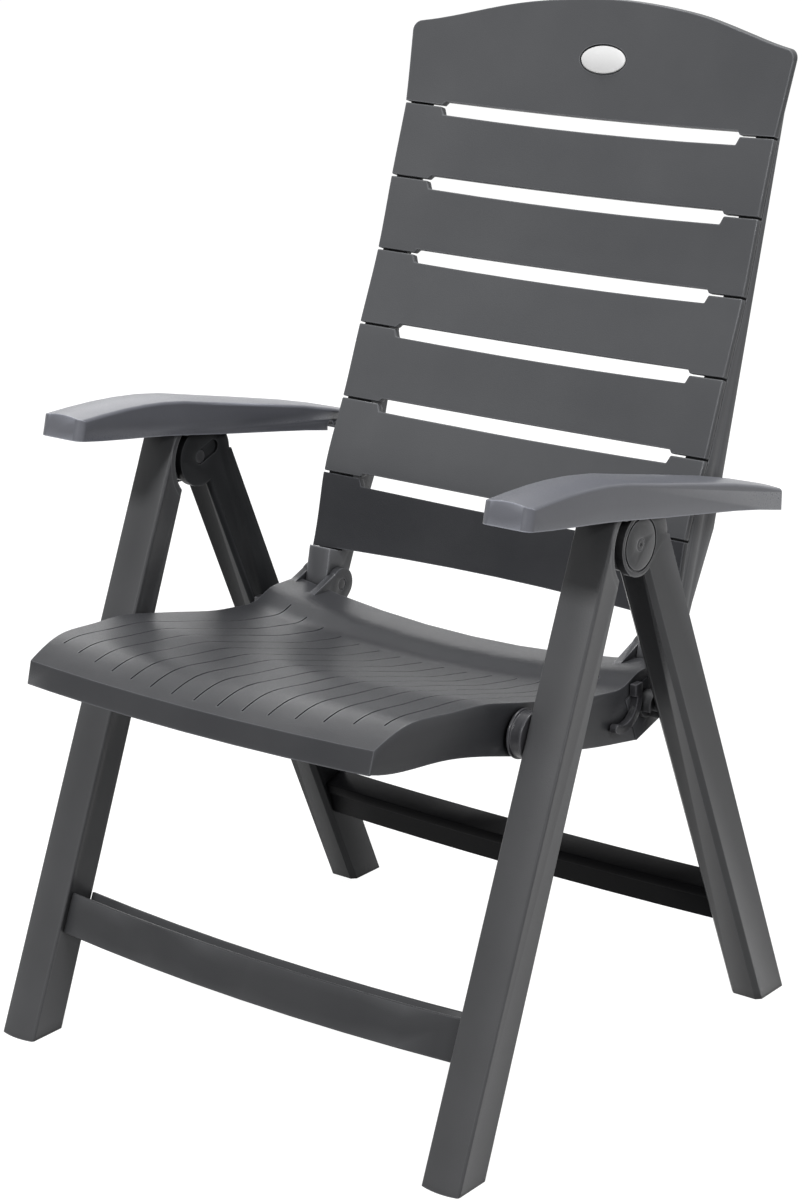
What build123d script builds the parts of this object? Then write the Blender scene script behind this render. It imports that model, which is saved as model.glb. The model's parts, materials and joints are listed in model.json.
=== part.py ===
from build123d import *
from math import atan2, cos, degrees, hypot, radians, sin
import os

os.makedirs("parts", exist_ok=True)

# A reclining, folding garden armchair in dark moulded resin. Millimetres, +Z up.
# The sitter looks along -Y, so the sitter's left is +X. The origin is on the floor under
# the middle of the chair. Side-view places (y, z) count y rearward from the axis on which
# the front and rear legs cross, and z from the floor.

# The leg hinge, and the other axes of the folding frame
HINGE_Y = -31.75
HINGE_Z = 556.0
SEAT_PIVOT_Y = -107.0
SEAT_PIVOT_Z = 388.0
BACK_HINGE_Y = 156.0
BACK_HINGE_Z = 392.0
ARM_PIVOT_Y = -25.0
ARM_PIVOT_Z = 595.0
RECLINE_ARM = 167.7
RECLINE_ANGLE = 22.4

# Clearances, and one overrun for all cuts
RUN_GAP = 0.05
SIDE_GAP = 0.5
SEAT_GAP = 0.3
OVERRUN = 40.0

# Front legs
FRONT_LEG_OUTER_X = 290.0
FRONT_LEG_WIDTH = 43.0
FRONT_FOOT_Y = -282.0
FRONT_FOOT_DEPTH = 44.0
FRONT_TOP_Y = -40.0
FRONT_TOP_DEPTH = 32.0
FRONT_LEG_BOW = 3.5
LEG_CORNER = 3.5
ARM_EYE_RADIUS = 11.0

# Rear legs
REAR_LEG_OUTER_X = 289.0
REAR_LEG_WIDTH = 36.5
REAR_FOOT_Y = 252.8
REAR_FOOT_DEPTH = 48.7
REAR_RISE = 620.0
REAR_TOP_Y = -29.5
REAR_TOP_DEPTH = 50.5
REAR_CHAMFER = 5.0
REAR_CORNER = 1.5

# Leg hinge
CHEEK_THICKNESS = 8.0
CHEEK_RADIUS = 31.0
HEAD_RADIUS = 45.5
HEAD_SLOT_RADIUS = 36.0
TONGUE_RADIUS = 28.0
RECESS_RADIUS = 44.0
LIP_RADIUS = 51.0
LIP_DEPTH = 1.5
LEG_PIN_RADIUS = 6.0
LEG_PIN_HEAD_RADIUS = 7.0
LEG_PIN_HEAD = 2.0
PIN_DIMPLE_RADIUS = 1.6
PIN_DIMPLE_DEPTH = 0.8
CHEEK_SLOT_LENGTH = 36.0
CHEEK_SLOT_WIDTH = 15.0
CHEEK_SLOT_DEPTH = 3.0
CHEEK_SLOT_ANGLE = 20.0
FACE_GROOVE_RADIUS = 24.5
FACE_GROOVE_WIDTH = 2.0
FACE_GROOVE_DEPTH = 1.2

# Seat pivots
PIVOT_SHANK_RADIUS = 8.0
PIVOT_FLANGE_RADIUS = 24.5
PIVOT_RIM = 3.0
PIVOT_WAIST = 2.0
PIVOT_SIDE_GAP = 1.2
PIVOT_DEPTH_IN_LEG = 22.0
SEAT_BOSS_RADIUS = 15.0
SEAT_BOSS_LENGTH = 9.0

# Crossbars
BAR_WALL = 4.0
BAR_TROUGH = 13.0
FRONT_BAR_Y = -233.0
FRONT_BAR_Z = 104.0
FRONT_BAR_HEIGHT = 42.0
FRONT_BAR_DEPTH = 34.0
FRONT_BAR_LEAN = 22.3
FRONT_BAR_LIP = 3.0
FRONT_BAR_BOW = 14.0
REAR_BAR_Y = 216.0
REAR_BAR_Z = 96.0
REAR_BAR_HEIGHT = 41.0
REAR_BAR_DEPTH = 28.0
REAR_BAR_LEAN = -17.0
REAR_BAR_BOW = 8.0
REAR_BAR_STEP = 2.5

# Seat
SEAT_FRONT_Y = -305.0
SEAT_REAR_Y = 134.0
SEAT_FRONT_HALF_WIDTH = 209.0
SEAT_HUB_HALF_WIDTH = 229.5
SEAT_REAR_HALF_WIDTH = 235.5
SEAT_FRONT_TOP = 422.0
SEAT_FRONT_SKIRT = 22.0
SEAT_BOW = 15.0
SEAT_DISH = 22.0
SEAT_WALL = 4.0
SEAT_CHEEK_DEPTH = 68.0
SEAT_REAR_SKIRT = 26.0
SEAT_RIB = 3.0
SEAT_RIB_DEPTH = 14.0
SEAT_BEAM_X = 105.0
SEAT_BEAM_WIDTH = 5.0
GROOVE_WIDTH = 2.0
GROOVE_DEPTH = 1.2
GROOVE_PITCH = 28.0
GROOVE_COUNT = 15
GROOVE_FRONT_Y = -303.0
GROOVE_FRONT_SAG = 38.0
GROOVE_REAR_Y = 80.0
GROOVE_REAR_SAG = 34.0
SEAT_RIB_SHARES = (0.22, 0.42, 0.62, 0.82)
# Outline at the side as shares: along the seat from its front, and up from its front edge
# in units of the cheek's depth.
SEAT_TOP_SHARES = (
    (0.0137, 0.0), (0.064, 0.132), (0.114, 0.206), (0.166, 0.206), (0.235, 0.162), (0.342, 0.103),
    (0.433, -0.029), (0.524, -0.162), (0.62, -0.309), (0.697, -0.412), (0.765, -0.47),
    (0.841, -0.485), (0.886, -0.38), (0.943, -0.353), (1.0, -0.353),
)
SEAT_BOTTOM_SHARES = (
    (0.0, -0.324), (0.102, -0.441), (0.198, -0.485), (0.296, -0.588), (0.396, -0.75),
    (0.47, -0.875), (0.6, -1.05), (0.724, -1.22), (0.831, -1.338), (0.888, -1.397),
)
SEAT_TAIL_SHARES = ((0.982, -1.22), (1.0, -1.15))

# Ears that hold the back's hinge
EAR_RADIUS = 18.0
EAR_OUTER_X = 235.5
EAR_THICKNESS = 8.0
EAR_ROOT_SHARE = 0.84
EAR_TANGENT_ANGLE = -52.0
BACK_PIN_RADIUS = 6.0
BACK_PIN_HEAD_RADIUS = 9.0
BACK_PIN_HEAD = 2.0

# Stubs on the rear legs, on which the claws of the seat rest
REST_Y = 99.0
REST_Z = 362.0
REST_RADIUS = 6.0
REST_LENGTH = 12.5
CLAW_RADIUS = 14.0
CLAW_OUTER_X = 250.0
CLAW_OPENING_ANGLE = 238.0
CLAW_EDGE_ANGLE = 90.0
CLAW_FLARE_ANGLE = 30.0
CLAW_FLARE = 3.0
CATCH_TOP_Y = 77.0
CATCH_TOP_Z = 383.0
CATCH_LOW_Y = 41.0
CATCH_LOW_Z = 352.0
CATCH_BULGE_Y = 72.0
CATCH_BULGE_Z = 358.0
CATCH_WIDTH = 9.0
CATCH_THICKNESS = 7.0
CATCH_EYE = 12.0

# Back: its front surface runs up from its lower edge at the sides, and bows rearward between
BACK_LOW_Y = 154.0
BACK_LOW_Z = 430.0
BACK_RUN = 190.0
BACK_RISE = 543.0
BACK_HALF_WIDTH = 229.0
BACK_BOW = 20.0
PANEL_THICKNESS = 8.5
BACK_CURVE_SHARES = (
    (0.0, 0.0), (0.0579, 0.0737), (0.1053, 0.1455), (0.279, 0.2855), (0.4368, 0.4236),
    (0.6053, 0.5635), (0.7342, 0.7044), (0.8737, 0.849), (1.0, 1.0), (1.09, 1.11),
)
TOP_HALF_WIDTH = 236.0
TOP_CORNER_Z = 974.0
TOP_RISE = 34.0
TOP_CORNER = 10.0
TOP_LINE_SHARES = ((1.0, 0.0), (0.84, 0.18), (0.7, 0.4), (0.5, 0.7), (0.27, 0.9), (0.0, 1.0))
GAP_TOP_Z = 891.0
GAP_PITCH_Z = 76.4
GAP_COUNT = 6
GAP_WIDTH = 2.0
SLOT_HALF_WIDTH = 186.0
SLOT_ABOVE = 5.0
SLOT_BELOW = 8.5
SLOT_SAG = 2.0
SLOT_POINT = 4.0

# Stiles behind the panels
STILE_OUTER_X = 227.0
STILE_WIDTH = 28.0
STILE_TOP_Z = 955.0
STILE_TOP_REAR_Y = 351.0
STILE_KNEE_Z = 509.0
STILE_KNEE_REAR_Y = 230.0
STILE_KNEE_LOW_Z = 440.0
STILE_KNEE_LOW_Y = 196.0
STILE_HEEL_ANGLE = -20.0
STILE_TOE_ANGLE = 170.0

# Badge
BADGE_HALF_LENGTH = 28.8
BADGE_HALF_HEIGHT = 16.0
BADGE_GAP = 1.4
BADGE_Z = 948.0
BADGE_PROUD = 0.8
BADGE_RECESS = 1.6

# Armrests
ARM_INNER_X = 241.5
ARM_OUTER_X = 295.0
ARM_WALL = 3.5
ARM_SKIN = 3.5
ARM_EDGE = 4.0
ARM_CORNER = 9.0
ARM_NOSE_Y = -192.0
ARM_LENGTH = 440.0
ARM_LOW_Z = 537.0
ARM_HEIGHT = 94.0
ARM_CROWN = 5.0
# Stations along the armrest as shares: of its length, lower and upper edge in its height, crown.
ARM_STATION_SHARES = (
    (0, 0.79, 0.998, 0.7), (0.08, 0.728, 1.003, 0.802), (0.16, 0.675, 0.999, 0.9),
    (0.225, 0.634, 0.984, 0.963), (0.29, 0.59, 0.955, 1.0), (0.36, 0.536, 0.905, 1.002),
    (0.43, 0.478, 0.834, 0.968), (0.5, 0.42, 0.765, 0.9), (0.6, 0.342, 0.67, 0.759),
    (0.7, 0.265, 0.572, 0.6), (0.8, 0.185, 0.472, 0.461), (0.9, 0.095, 0.356, 0.381),
    (1.0, -0.01, 0.219, 0.4),
)
ARM_BOSS_RADIUS = 9.0
ARM_PIN_RADIUS = 4.0
ARM_PIN_INNER_X = 243.0
ARM_PIN_OUTER_X = 293.5

# Recline rack and pins
RACK_WIDTH = 11.0
RACK_GAP = 0.4
RACK_NOTCHES = 5
RACK_PITCH_ANGLE = 3.3
RACK_FRONT_Y = 193.0
RACK_REAR_Y = 246.0
RECLINE_PIN_RADIUS = 4.0
RECLINE_PIN_SUNK = 20.0
UPRIGHT_ANGLE = 90.0

FRONT_LEG_INNER_X = FRONT_LEG_OUTER_X - FRONT_LEG_WIDTH
REAR_LEG_INNER_X = REAR_LEG_OUTER_X - REAR_LEG_WIDTH
CHEEK_IN = REAR_LEG_INNER_X + CHEEK_THICKNESS
CHEEK_OUT = REAR_LEG_OUTER_X - CHEEK_THICKNESS
SEAT_LENGTH = SEAT_REAR_Y - SEAT_FRONT_Y
SEAT_FLOOR = SEAT_FRONT_TOP - 3 * SEAT_CHEEK_DEPTH
BACK_LENGTH = hypot(BACK_RUN, BACK_RISE)
RECLINE_PIN_Y = BACK_HINGE_Y + RECLINE_ARM * sin(radians(RECLINE_ANGLE))
RECLINE_PIN_Z = BACK_HINGE_Z + RECLINE_ARM * cos(radians(RECLINE_ANGLE))
RECLINE_PIN_END_X = ARM_INNER_X - SIDE_GAP
LOFT_SHARES = (-1, -0.75, -0.5, -0.25, 0, 0.25, 0.5, 0.75, 1)


def side(x):
    """Side-view plane at x: local x runs rearward from the leg hinge axis, local y up from the floor."""
    return Plane(origin=(x, HINGE_Y, 0), x_dir=(0, 1, 0), z_dir=(1, 0, 0))


def across(y):
    """Front-view plane at side-view place y: local x is X, and local y is up."""
    return Plane(origin=(0, HINGE_Y + y, 0), x_dir=(1, 0, 0), z_dir=(0, -1, 0))


def polar(radius, angle, y, z):
    """Side-view point at a radius, and at an angle above rearward, about (y, z)."""
    return (y + radius * cos(radians(angle)), z + radius * sin(radians(angle)))


def disc(x, width, y, z, radius):
    """Round disc along X from x to x + width, about the side-view point (y, z)."""
    with BuildPart() as body:
        with BuildSketch(side(x)):
            with Locations((y, z)):
                Circle(radius)
        extrude(amount=width)
    return body.part


def save(piece, label):
    piece.part.label = label
    export_step(piece.part, f"parts/{label}.step")


def save_pair(piece, name):
    """The left-hand piece and its right-hand mirror image."""
    save(piece, f"{name}_left")
    with BuildPart() as twin:
        mirror(piece.part, about=Plane.YZ)
    save(twin, f"{name}_right")


# Front leg: a bar that tapers towards its top, with an eye for the armrest's pin
with BuildPart() as front_leg:
    front_middle_x = FRONT_LEG_OUTER_X - FRONT_LEG_WIDTH / 2
    for z, front, depth in (
        (0, HINGE_Y + FRONT_FOOT_Y, FRONT_FOOT_DEPTH), (ARM_PIVOT_Z, HINGE_Y + FRONT_TOP_Y, FRONT_TOP_DEPTH)
    ):
        with BuildSketch(Plane.XY.offset(z)) as section:
            with BuildLine():
                ThreePointArc(
                    (FRONT_LEG_INNER_X, front), (front_middle_x, front - FRONT_LEG_BOW),
                    (FRONT_LEG_OUTER_X, front),
                )
                Polyline(
                    (FRONT_LEG_OUTER_X, front), (FRONT_LEG_OUTER_X, front + depth),
                    (FRONT_LEG_INNER_X, front + depth), (FRONT_LEG_INNER_X, front),
                )
            make_face()
            fillet(section.vertices(), LEG_CORNER)
    loft(ruled=True)
    # Round recesses on both sides, in which the cheeks of the rear leg turn
    add(
        disc(FRONT_LEG_OUTER_X - LIP_DEPTH, OVERRUN, 0, HINGE_Z, LIP_RADIUS), mode=Mode.SUBTRACT
    )
    add(disc(CHEEK_OUT - SIDE_GAP, OVERRUN, 0, HINGE_Z, RECESS_RADIUS), mode=Mode.SUBTRACT)
    add(disc(CHEEK_IN + SIDE_GAP, -OVERRUN, 0, HINGE_Z, RECESS_RADIUS), mode=Mode.SUBTRACT)
    add(
        disc(FRONT_LEG_INNER_X + LIP_DEPTH, -OVERRUN, 0, HINGE_Z, LIP_RADIUS), mode=Mode.SUBTRACT
    )
    # Tongue that carries the hinge pin between the cheeks
    front_lean = degrees(atan2(FRONT_TOP_Y - FRONT_FOOT_Y, ARM_PIVOT_Z))
    with BuildSketch(side(CHEEK_IN + SIDE_GAP)):
        with Locations((0, HINGE_Z)):
            Circle(TONGUE_RADIUS)
            Rectangle(
                hypot(FRONT_TOP_Y, FRONT_TOP_DEPTH) - TONGUE_RADIUS / 2, 2 * TONGUE_RADIUS,
                rotation=-front_lean, align=(Align.MAX, Align.CENTER),
            )
    extrude(amount=CHEEK_OUT - CHEEK_IN - 2 * SIDE_GAP)
    # Eye of the armrest, over the whole width
    add(disc(FRONT_LEG_INNER_X, FRONT_LEG_WIDTH, ARM_PIVOT_Y, ARM_PIVOT_Z, ARM_EYE_RADIUS))
    # Holes for the three pins
    add(
        disc(FRONT_LEG_INNER_X, FRONT_LEG_WIDTH, 0, HINGE_Z, LEG_PIN_RADIUS + RUN_GAP),
        mode=Mode.SUBTRACT,
    )
    add(
        disc(
            FRONT_LEG_INNER_X, FRONT_LEG_WIDTH, ARM_PIVOT_Y, ARM_PIVOT_Z, ARM_PIN_RADIUS + RUN_GAP
        ),
        mode=Mode.SUBTRACT,
    )
    add(
        disc(
            FRONT_LEG_INNER_X, PIVOT_DEPTH_IN_LEG + SIDE_GAP, SEAT_PIVOT_Y, SEAT_PIVOT_Z,
            PIVOT_SHANK_RADIUS + RUN_GAP,
        ),
        mode=Mode.SUBTRACT,
    )
save_pair(front_leg, "front_leg")

# Rear leg: a bar whose split head takes the front leg's tongue
with BuildPart() as rear_leg:
    for z, front, depth in (
        (0, HINGE_Y + REAR_FOOT_Y, REAR_FOOT_DEPTH), (REAR_RISE, HINGE_Y + REAR_TOP_Y, REAR_TOP_DEPTH)
    ):
        with BuildSketch(Plane.XY.offset(z)):
            with BuildLine():
                FilletPolyline(
                    (REAR_LEG_INNER_X, front + REAR_CHAMFER),
                    (REAR_LEG_INNER_X + REAR_CHAMFER, front),
                    (REAR_LEG_OUTER_X - REAR_CHAMFER, front),
                    (REAR_LEG_OUTER_X, front + REAR_CHAMFER),
                    (REAR_LEG_OUTER_X, front + depth),
                    (REAR_LEG_INNER_X, front + depth),
                    radius=REAR_CORNER, close=True,
                )
            make_face()
    loft(ruled=True)
    # Round head about the hinge, level with the top of the cheeks
    with BuildSketch(side(REAR_LEG_INNER_X)):
        with Locations((0, HINGE_Z)):
            Circle(HEAD_RADIUS)
        with Locations((0, HINGE_Z)):
            Rectangle(4 * HEAD_RADIUS + REAR_RISE, REAR_RISE, align=(Align.CENTER, Align.MAX))
        with Locations((0, HINGE_Z + CHEEK_RADIUS)):
            Rectangle(
                4 * HEAD_RADIUS, HEAD_RADIUS, align=(Align.CENTER, Align.MIN), mode=Mode.SUBTRACT
            )
    extrude(amount=REAR_LEG_WIDTH, mode=Mode.INTERSECT)
    add(disc(REAR_LEG_INNER_X, CHEEK_THICKNESS, 0, HINGE_Z, CHEEK_RADIUS))
    add(disc(CHEEK_OUT, CHEEK_THICKNESS, 0, HINGE_Z, CHEEK_RADIUS))
    # Slot between the cheeks, open at the top
    with BuildSketch(side(CHEEK_IN)):
        with Locations((0, HINGE_Z)):
            Circle(HEAD_SLOT_RADIUS)
            Rectangle(
                2 * HEAD_SLOT_RADIUS, 2 * HEAD_RADIUS, align=(Align.CENTER, Align.MIN)
            )
    extrude(amount=CHEEK_OUT - CHEEK_IN, mode=Mode.SUBTRACT)
    # Ring groove in the outer disc, and the oblong sink round the pin's inner end
    with BuildSketch(side(REAR_LEG_OUTER_X)):
        with Locations((0, HINGE_Z)):
            Circle(FACE_GROOVE_RADIUS + FACE_GROOVE_WIDTH)
            Circle(FACE_GROOVE_RADIUS, mode=Mode.SUBTRACT)
    extrude(amount=-FACE_GROOVE_DEPTH, mode=Mode.SUBTRACT)
    slot_reach = (CHEEK_SLOT_LENGTH - CHEEK_SLOT_WIDTH) / 2
    with BuildSketch(side(REAR_LEG_INNER_X)):
        with Locations(polar(slot_reach, CHEEK_SLOT_ANGLE, 0, HINGE_Z)):
            SlotOverall(CHEEK_SLOT_LENGTH, CHEEK_SLOT_WIDTH, rotation=CHEEK_SLOT_ANGLE)
    extrude(amount=CHEEK_SLOT_DEPTH, mode=Mode.SUBTRACT)
    add(
        disc(REAR_LEG_INNER_X, REAR_LEG_WIDTH, 0, HINGE_Z, LEG_PIN_RADIUS + RUN_GAP),
        mode=Mode.SUBTRACT,
    )
    # Blind hole for the rest stub
    add(
        disc(
            REAR_LEG_INNER_X, CHEEK_THICKNESS + SIDE_GAP, REST_Y, REST_Z, REST_RADIUS + RUN_GAP
        ),
        mode=Mode.SUBTRACT,
    )
save_pair(rear_leg, "rear_leg")

# Rest stub, on which the seat's claw rests
with BuildPart() as rest_stub:
    add(disc(REAR_LEG_INNER_X + CHEEK_THICKNESS, -REST_LENGTH - CHEEK_THICKNESS, REST_Y, REST_Z, REST_RADIUS))
save_pair(rest_stub, "rest_stub")

# Leg hinge pin, flush in the outer cheek and headed in the sink of the inner one
with BuildPart() as leg_pin:
    pin_inner_x = REAR_LEG_INNER_X + CHEEK_SLOT_DEPTH - SIDE_GAP
    add(disc(pin_inner_x, REAR_LEG_OUTER_X - pin_inner_x, 0, HINGE_Z, LEG_PIN_RADIUS))
    add(disc(pin_inner_x, -LEG_PIN_HEAD, 0, HINGE_Z, LEG_PIN_HEAD_RADIUS))
    add(
        disc(REAR_LEG_OUTER_X, -PIN_DIMPLE_DEPTH, 0, HINGE_Z, PIN_DIMPLE_RADIUS),
        mode=Mode.SUBTRACT,
    )
save_pair(leg_pin, "leg_hinge_pin")


def tilted(y, z, lean, points):
    """Side-view points given as (rearward, upward) in a frame at (y, z) that leans rearward."""
    c, s = cos(radians(lean)), sin(radians(lean))
    return [(y + a * c + b * s, z - a * s + b * c) for a, b in points]


def crossbar(half_width, bow, outline):
    """Bar lofted through its outline from side to side, and bowed forward between its ends."""
    with BuildPart() as bar:
        for share in LOFT_SHARES:
            shift = -bow * (1 - share ** 2)
            with BuildSketch(side(share * half_width)):
                with BuildLine():
                    Polyline(*[(y + shift, z) for y, z in outline], close=True)
                make_face()
        loft(ruled=True)
    return bar.part


# Front crossbar: a channel that is open at its top, with a raised rear lip
with BuildPart() as front_bar:
    add(crossbar(
        FRONT_LEG_INNER_X, FRONT_BAR_BOW,
        tilted(FRONT_BAR_Y, FRONT_BAR_Z, FRONT_BAR_LEAN, (
            (0, 0),
            (FRONT_BAR_DEPTH, 0),
            (FRONT_BAR_DEPTH, FRONT_BAR_HEIGHT + FRONT_BAR_LIP),
            (FRONT_BAR_DEPTH - BAR_WALL, FRONT_BAR_HEIGHT + FRONT_BAR_LIP),
            (FRONT_BAR_DEPTH - BAR_WALL, FRONT_BAR_HEIGHT - BAR_TROUGH),
            (BAR_WALL, FRONT_BAR_HEIGHT - BAR_TROUGH),
            (BAR_WALL, FRONT_BAR_HEIGHT),
            (0, FRONT_BAR_HEIGHT),
        )),
    ))
save(front_bar, "front_crossbar")

# Rear crossbar: a channel that is open below, with a step along its face
with BuildPart() as rear_bar:
    add(crossbar(
        REAR_LEG_INNER_X, REAR_BAR_BOW,
        tilted(REAR_BAR_Y, REAR_BAR_Z, REAR_BAR_LEAN, (
            (0, 0),
            (BAR_WALL, 0),
            (BAR_WALL, REAR_BAR_HEIGHT - BAR_WALL),
            (REAR_BAR_DEPTH - BAR_WALL, REAR_BAR_HEIGHT - BAR_WALL),
            (REAR_BAR_DEPTH - BAR_WALL, 0),
            (REAR_BAR_DEPTH, 0),
            (REAR_BAR_DEPTH, REAR_BAR_HEIGHT),
            (-REAR_BAR_STEP, REAR_BAR_HEIGHT),
            (-REAR_BAR_STEP, REAR_BAR_HEIGHT - BAR_TROUGH),
            (0, REAR_BAR_HEIGHT - BAR_TROUGH),
        )),
    ))
save(rear_bar, "rear_crossbar")

# Seat pivot: a hub with two rims on the front leg, and a shank through leg and seat
with BuildPart() as seat_pivot:
    hub_inner_x = SEAT_HUB_HALF_WIDTH + PIVOT_SIDE_GAP
    hub_width = FRONT_LEG_INNER_X - hub_inner_x
    shank_inner_x = SEAT_HUB_HALF_WIDTH - SEAT_WALL - SEAT_BOSS_LENGTH
    with BuildSketch(side(shank_inner_x)):
        with Locations((SEAT_PIVOT_Y, SEAT_PIVOT_Z)):
            Circle(PIVOT_SHANK_RADIUS)
    extrude(amount=FRONT_LEG_INNER_X + PIVOT_DEPTH_IN_LEG - shank_inner_x)
    for x in (hub_inner_x, FRONT_LEG_INNER_X - PIVOT_RIM):
        add(disc(x, PIVOT_RIM, SEAT_PIVOT_Y, SEAT_PIVOT_Z, PIVOT_FLANGE_RADIUS))
    add(disc(hub_inner_x, hub_width, SEAT_PIVOT_Y, SEAT_PIVOT_Z, PIVOT_FLANGE_RADIUS - PIVOT_WAIST))
save_pair(seat_pivot, "seat_pivot")


def seat_point(x, along, above):
    """Side-view place on the seat's surface at x, from shares along the seat and up from its edge."""
    middle = 1 - (x / SEAT_REAR_HALF_WIDTH) ** 2
    y = SEAT_FRONT_Y + along * SEAT_LENGTH - SEAT_BOW * middle * (1 - along) ** 2
    return (y, SEAT_FRONT_TOP + above * SEAT_CHEEK_DEPTH - SEAT_DISH * middle * along)


def seat_layer(drop):
    """Body under the seat's surface lowered by a drop, down to a level floor."""
    with BuildPart() as layer:
        for share in LOFT_SHARES:
            x = share * SEAT_REAR_HALF_WIDTH
            top = [seat_point(x, along, above) for along, above in SEAT_TOP_SHARES]
            top = [(y, z - drop) for y, z in top]
            foot = seat_point(x, 0, 0)[0]
            with BuildSketch(side(x)):
                with BuildLine():
                    Spline(*top)
                    Polyline(
                        top[-1], (SEAT_REAR_Y, SEAT_FLOOR), (foot, SEAT_FLOOR),
                        (foot, SEAT_FRONT_TOP - SEAT_FRONT_SKIRT - drop), top[0],
                    )
                make_face()
        loft(ruled=True)
    return layer.part


def seat_plan(inset, front_inset):
    """Upright block over the seat's plan outline, drawn in at its sides and front."""
    front_y = HINGE_Y + SEAT_FRONT_Y + front_inset
    hub_y = HINGE_Y + SEAT_PIVOT_Y
    rear_y = HINGE_Y + SEAT_REAR_Y - inset
    spread = (SEAT_HUB_HALF_WIDTH - SEAT_FRONT_HALF_WIDTH) / (SEAT_PIVOT_Y - SEAT_FRONT_Y)
    front_x = SEAT_FRONT_HALF_WIDTH + spread * front_inset - inset
    hub_x = SEAT_HUB_HALF_WIDTH - inset
    rear_x = SEAT_REAR_HALF_WIDTH - inset
    with BuildPart() as block:
        with BuildSketch(Plane.XY.offset(SEAT_FLOOR)):
            with BuildLine():
                ThreePointArc((-front_x, front_y), (0, front_y - SEAT_BOW), (front_x, front_y))
                Polyline(
                    (front_x, front_y), (hub_x, hub_y), (rear_x, rear_y),
                    (-rear_x, rear_y), (-hub_x, hub_y), (-front_x, front_y),
                )
            make_face()
        extrude(amount=4 * SEAT_CHEEK_DEPTH)
    return block.part


def cheek_line():
    """Side-view lower line of the seat, from front to rear."""
    return [
        (SEAT_FRONT_Y + along * SEAT_LENGTH, SEAT_FRONT_TOP + above * SEAT_CHEEK_DEPTH)
        for along, above in SEAT_BOTTOM_SHARES
    ]


def ear(x, width):
    """Upright ear from the seat's rear corner round the back's hinge."""
    low = [
        (SEAT_FRONT_Y + along * SEAT_LENGTH, SEAT_FRONT_TOP + above * SEAT_CHEEK_DEPTH)
        for along, above in (SEAT_BOTTOM_SHARES[-1], SEAT_TAIL_SHARES[0])
    ]
    root_y = SEAT_FRONT_Y + EAR_ROOT_SHARE * SEAT_LENGTH
    with BuildPart() as body:
        with BuildSketch(side(x)):
            with BuildLine():
                Polyline(
                    (root_y, BACK_HINGE_Z - EAR_RADIUS), (BACK_HINGE_Y, BACK_HINGE_Z + EAR_RADIUS),
                    polar(EAR_RADIUS, EAR_TANGENT_ANGLE, BACK_HINGE_Y, BACK_HINGE_Z), low[1], low[0],
                    close=True,
                )
            make_face()
            with Locations((BACK_HINGE_Y, BACK_HINGE_Z)):
                Circle(EAR_RADIUS)
        extrude(amount=width)
    return body.part


# Fittings on the seat's left side: ears and pivot boss
with BuildPart() as seat_side:
    inner_ear_x = STILE_OUTER_X - STILE_WIDTH - SIDE_GAP - EAR_THICKNESS
    add(ear(STILE_OUTER_X + SIDE_GAP, EAR_OUTER_X - STILE_OUTER_X - SIDE_GAP))
    add(ear(inner_ear_x, EAR_THICKNESS))
    boss_x = SEAT_HUB_HALF_WIDTH - SEAT_WALL - SEAT_BOSS_LENGTH
    add(disc(boss_x, SEAT_BOSS_LENGTH + SEAT_WALL / 2, SEAT_PIVOT_Y, SEAT_PIVOT_Z, SEAT_BOSS_RADIUS))

# Hollow under the seat, the ribs that cross it, and the grooves on its top
with BuildPart() as seat_hollow:
    add(seat_layer(SEAT_WALL))
    add(seat_plan(SEAT_WALL, SEAT_WALL + SEAT_WALL / 2), mode=Mode.INTERSECT)

with BuildPart() as seat_ribs:
    for share in SEAT_RIB_SHARES:
        with BuildSketch(Plane.XY.offset(SEAT_FLOOR)):
            with Locations((0, HINGE_Y + SEAT_FRONT_Y + share * SEAT_LENGTH)):
                Rectangle(2 * SEAT_FRONT_HALF_WIDTH, SEAT_RIB)
        extrude(amount=4 * SEAT_CHEEK_DEPTH)
    with BuildSketch(Plane.XY.offset(SEAT_FLOOR)):
        for x in (-SEAT_BEAM_X, SEAT_BEAM_X):
            with Locations((x, HINGE_Y + SEAT_FRONT_Y + SEAT_LENGTH / 2)):
                Rectangle(SEAT_BEAM_WIDTH, SEAT_LENGTH - 2 * SEAT_BOW)
    extrude(amount=4 * SEAT_CHEEK_DEPTH)
    add(seat_layer(SEAT_WALL / 2), mode=Mode.INTERSECT)
    add(seat_layer(SEAT_WALL + SEAT_RIB_DEPTH), mode=Mode.SUBTRACT)

with BuildPart() as seat_grooves:
    for i in range(GROOVE_COUNT):
        x = (i - (GROOVE_COUNT - 1) / 2) * GROOVE_PITCH
        aside = (x / SEAT_FRONT_HALF_WIDTH) ** 2
        front_y = GROOVE_FRONT_Y + GROOVE_FRONT_SAG * aside
        rear_y = GROOVE_REAR_Y - GROOVE_REAR_SAG * (1 - aside)
        bed = [seat_point(x, along, above) for along, above in SEAT_TOP_SHARES]
        bed = [(y, z - GROOVE_DEPTH) for y, z in bed]
        roof = SEAT_FRONT_TOP + SEAT_CHEEK_DEPTH
        with BuildSketch(side(x - GROOVE_WIDTH / 2)):
            with BuildLine():
                Spline(*bed)
                Polyline(bed[-1], (bed[-1][0], roof), (bed[0][0], roof), bed[0])
            make_face()
            with Locations(((front_y + rear_y) / 2, SEAT_FRONT_TOP)):
                Rectangle(rear_y - front_y, 4 * SEAT_CHEEK_DEPTH, mode=Mode.INTERSECT)
        extrude(amount=GROOVE_WIDTH)

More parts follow.
